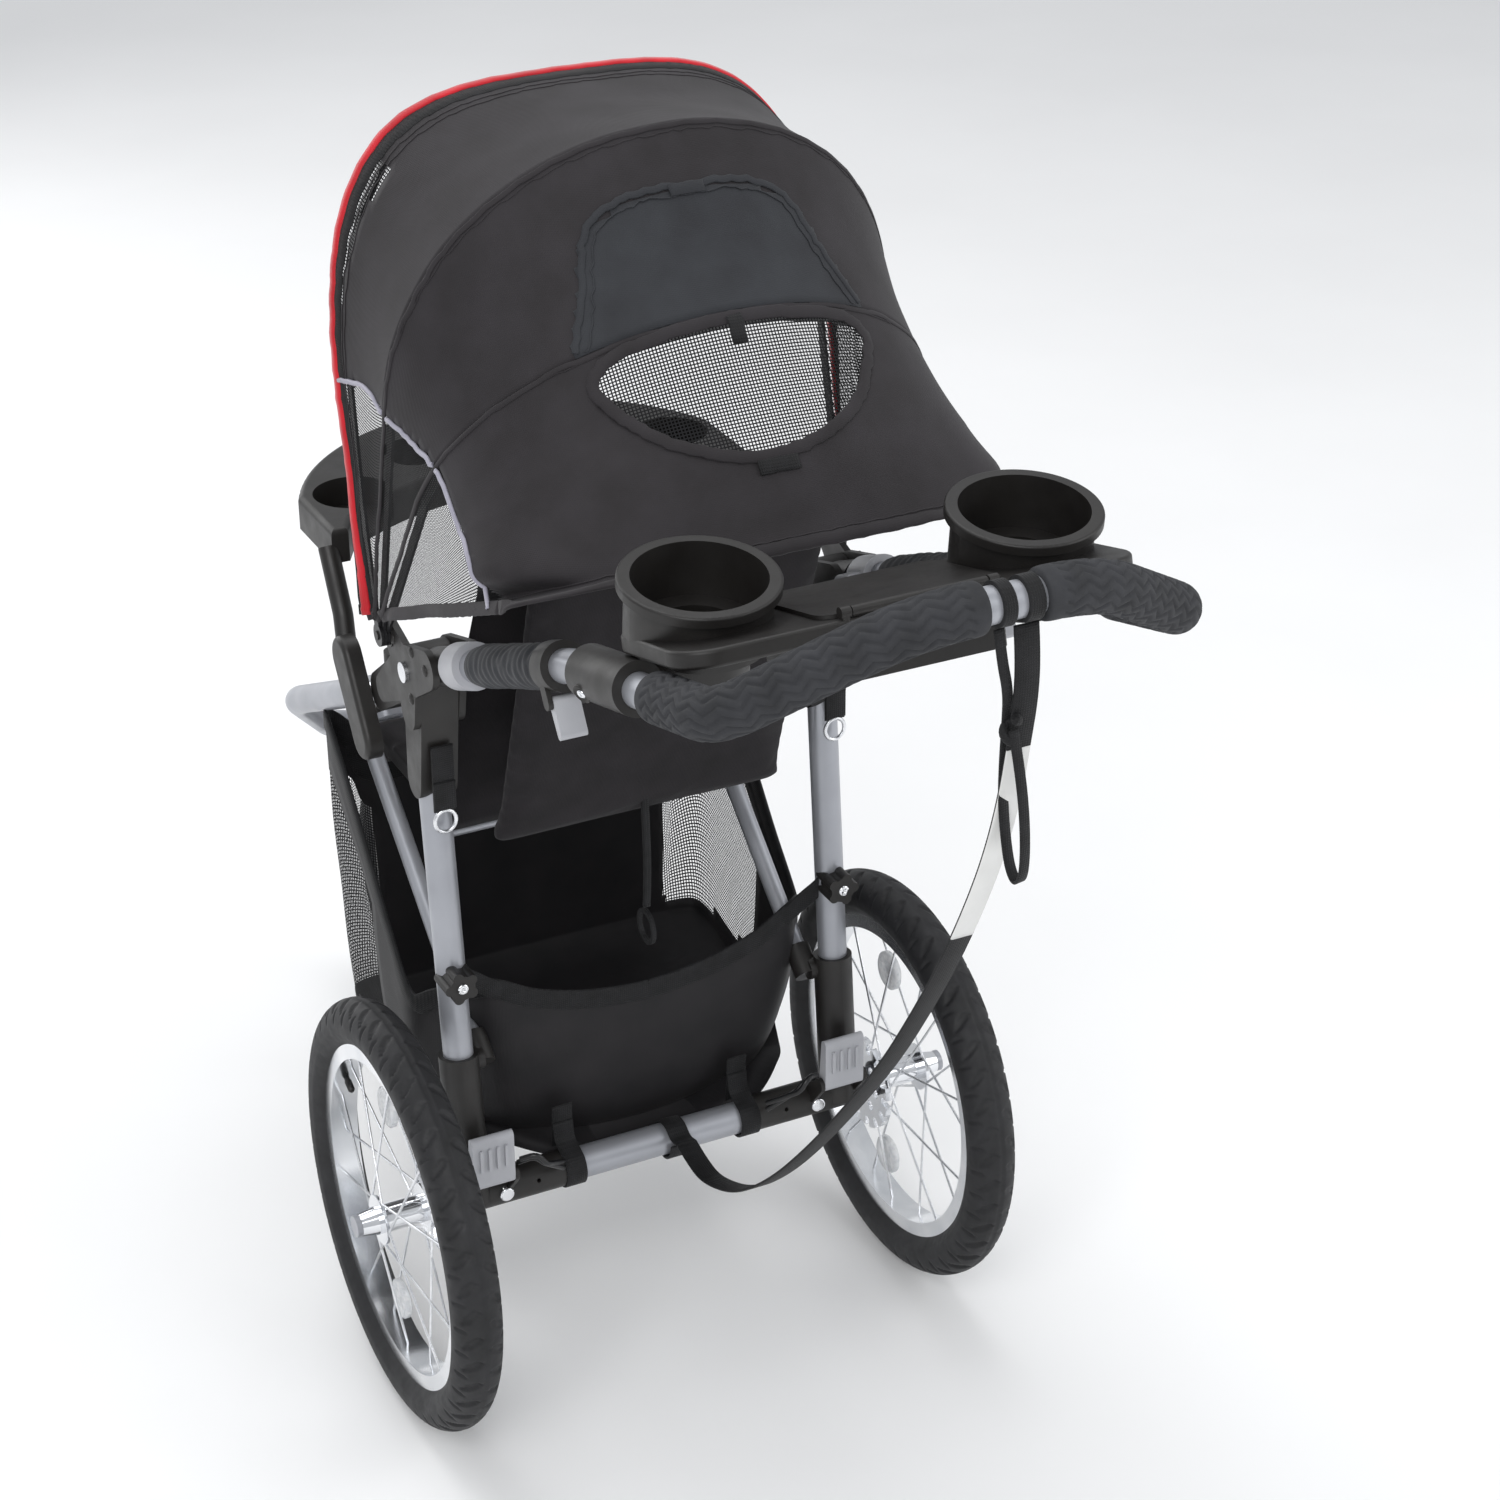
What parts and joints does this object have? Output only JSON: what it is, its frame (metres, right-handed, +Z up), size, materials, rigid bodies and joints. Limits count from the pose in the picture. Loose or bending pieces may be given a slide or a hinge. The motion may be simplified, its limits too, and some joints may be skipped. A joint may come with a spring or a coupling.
{
  "type": "jogging stroller",
  "caption": "Jogging stroller: a folding tube frame on air-tyred wheels, with a bow canopy, reclining seat, parent and child trays, basket, foot brakes and tether.",
  "frame": {"origin": "on the floor, in the middle of the stroller's outline seen from above", "axes": "+Z up, -Y the way the stroller rolls forward, +X the child's left"},
  "size_m": [0.598, 1.36, 1.1853],
  "materials": {
    "silver_tube": "satin powder coat",
    "black_tube": "satin",
    "black_plastic": "moulded grain",
    "grey_plastic": "moulded",
    "chrome": "polished",
    "steel": "zinc plated",
    "rim": "polished",
    "tyre": "moulded rubber",
    "grip_rubber": "soft grip",
    "canopy_fabric": "woven polyester",
    "seat_fabric": "padded polyester",
    "webbing": "woven webbing",
    "cable_jacket": "extruded",
    "red_button": "moulded"
  },
  "bodies": {
    "chassis": {"left_front_tube": "silver_tube", "right_front_tube": "silver_tube", "front_head": "black_plastic", "cross_tubes": "silver_tube", "footrest": "silver_tube", "frame_knuckles": "black_plastic", "rear_legs": "silver_tube", "brace_tubes": "silver_tube", "left_axle_bracket": "black_plastic", "right_axle_bracket": "black_plastic", "rear_axle": "silver_tube", "brake_cables": "cable_jacket", "seat_pad": "seat_fabric", "lap_harness": "webbing", "basket": "seat_fabric", "basket_clamps": "black_plastic", "side_straps": "webbing", "tether_strap": "webbing", "pivot_pins": "steel"},
    "handle": {"handle_tube": "silver_tube", "grips": "grip_rubber", "hinge_plates": "black_plastic", "tube_sleeves": "seat_fabric", "lever_collars": "black_plastic", "parent_tray": "black_plastic", "bar_loops": "webbing", "wrist_loop": "webbing"},
    "canopy_rear": {"canopy_rear_bow": "black_tube", "canopy_cover": "canopy_fabric"},
    "canopy_mid": {"canopy_mid_bow": "black_tube"},
    "canopy_front": {"canopy_front_bow": "black_tube"},
    "tray_lid": {"tray_lid": "black_plastic"},
    "child_tray": {"child_tray": "black_plastic"},
    "seat_back": {"seat_back": "seat_fabric", "recline_cord": "webbing", "recline_ring": "webbing"},
    "left_fold_lever": {"left_fold_lever": "grey_plastic"},
    "right_fold_lever": {"right_fold_lever": "grey_plastic"},
    "left_lock_slide": {"left_lock_slide": "grey_plastic"},
    "right_lock_slide": {"right_lock_slide": "grey_plastic"},
    "left_brake_pedal": {"left_brake_pedal": "grey_plastic"},
    "right_brake_pedal": {"right_brake_pedal": "grey_plastic"},
    "left_axle_button": {"left_axle_button": "chrome"},
    "right_axle_button": {"right_axle_button": "chrome"},
    "buckle_button": {"buckle_button": "red_button"},
    "front_fork": {"front_fork": "black_plastic", "front_axle": "steel"},
    "front_wheel": {"front_tyre": "tyre", "front_rim": "rim", "front_spokes": "steel", "front_hub": "chrome"},
    "swivel_lock": {"swivel_lock": "black_plastic"},
    "left_wheel": {"left_tyre": "tyre", "left_rim": "rim", "left_spokes": "steel", "left_hub": "chrome"},
    "right_wheel": {"right_tyre": "tyre", "right_rim": "rim", "right_spokes": "steel", "right_hub": "chrome"}
  },
  "joints": [
    {"name": "handle_fold", "type": "hinge", "parent": "chassis", "child": "handle", "pos_m": [0.188, 0.046, 0.722], "axis": [1, 0, 0], "range_deg": [0, 105], "deforming": ["canopy_cover", "tether_strap"]},
    {"name": "canopy_rear_fold", "type": "hinge", "parent": "handle", "child": "canopy_rear", "pos_m": [0, 0.011, 0.743], "axis": [1, 0, 0], "range_deg": [-19, 0]},
    {"name": "canopy_mid_fold", "type": "hinge", "parent": "canopy_rear", "child": "canopy_mid", "pos_m": [0, 0.011, 0.743], "axis": [1, 0, 0], "range_deg": [-15.5, 0]},
    {"name": "canopy_front_fold", "type": "hinge", "parent": "canopy_mid", "child": "canopy_front", "pos_m": [0, 0.011, 0.743], "axis": [1, 0, 0], "range_deg": [-20, 0]},
    {"name": "tray_lid_hinge", "type": "hinge", "parent": "handle", "child": "tray_lid", "pos_m": [0, 0.53882, 0.95237], "axis": [1, 0, 0], "range_deg": [-100, 0]},
    {"name": "child_tray_swing", "type": "hinge", "parent": "chassis", "child": "child_tray", "pos_m": [0.188, -0.073, 0.6474], "axis": [1, 0, 0], "range_deg": [0, 40]},
    {"name": "seat_recline", "type": "hinge", "parent": "chassis", "child": "seat_back", "pos_m": [0, -0.036, 0.512], "axis": [1, 0, 0], "range_deg": [-10, 8]},
    {"name": "left_fold_lever_squeeze", "type": "hinge", "parent": "handle", "child": "left_fold_lever", "pos_m": [0.188, 0.33305, 0.82011], "axis": [1, 0, 0], "range_deg": [0, 30], "stiffness_Nm_per_rad": 0.4},
    {"name": "left_lock_slide_travel", "type": "slide", "parent": "handle", "child": "left_lock_slide", "axis": [0, 0.9149, 0.4036], "range_m": [0, 0.014]},
    {"name": "left_brake_press", "type": "hinge", "parent": "chassis", "child": "left_brake_pedal", "pos_m": [0.177, 0.102, 0.232], "axis": [1, 0, 0], "range_deg": [-25, 0]},
    {"name": "left_axle_button_push", "type": "slide", "parent": "chassis", "child": "left_axle_button", "axis": [0, -1, 0], "range_m": [0, 0.0025], "stiffness_N_per_m": 600},
    {"name": "right_fold_lever_squeeze", "type": "hinge", "parent": "handle", "child": "right_fold_lever", "pos_m": [-0.188, 0.33305, 0.82011], "axis": [1, 0, 0], "range_deg": [0, 30], "stiffness_Nm_per_rad": 0.4},
    {"name": "right_lock_slide_travel", "type": "slide", "parent": "handle", "child": "right_lock_slide", "axis": [0, 0.9149, 0.4036], "range_m": [0, 0.014]},
    {"name": "right_brake_press", "type": "hinge", "parent": "chassis", "child": "right_brake_pedal", "pos_m": [-0.177, 0.102, 0.232], "axis": [1, 0, 0], "range_deg": [-25, 0]},
    {"name": "right_axle_button_push", "type": "slide", "parent": "chassis", "child": "right_axle_button", "axis": [0, -1, 0], "range_m": [0, 0.0025], "stiffness_N_per_m": 600},
    {"name": "buckle_button_push", "type": "slide", "parent": "chassis", "child": "buckle_button", "axis": [0, 0, -1], "range_m": [0, 0.003], "stiffness_N_per_m": 500},
    {"name": "fork_swivel", "type": "hinge", "parent": "chassis", "child": "front_fork", "pos_m": [0, -0.553, 0.342], "axis": [0, 0, 1], "continuous": true},
    {"name": "front_wheel_spin", "type": "hinge", "parent": "front_fork", "child": "front_wheel", "pos_m": [0, -0.528, 0.152], "axis": [1, 0, 0], "continuous": true},
    {"name": "swivel_lock_push", "type": "slide", "parent": "chassis", "child": "swivel_lock", "axis": [0, 0, -1], "range_m": [0, 0.01]},
    {"name": "left_wheel_spin", "type": "hinge", "parent": "chassis", "child": "left_wheel", "pos_m": [0.254, 0.072, 0.2], "axis": [1, 0, 0], "continuous": true},
    {"name": "right_wheel_spin", "type": "hinge", "parent": "chassis", "child": "right_wheel", "pos_m": [-0.254, 0.072, 0.2], "axis": [1, 0, 0], "continuous": true}
  ],
  "couplings": [
    {"joint": "canopy_rear_fold", "follows": "handle_fold", "ratio": -0.1809},
    {"joint": "canopy_mid_fold", "follows": "handle_fold", "ratio": -0.1476},
    {"joint": "canopy_front_fold", "follows": "handle_fold", "ratio": -0.1904},
    {"joint": "left_fold_lever_squeeze", "follows": "left_lock_slide_travel", "rad_per_m": 37.39},
    {"joint": "right_fold_lever_squeeze", "follows": "right_lock_slide_travel", "rad_per_m": 37.39}
  ]
}
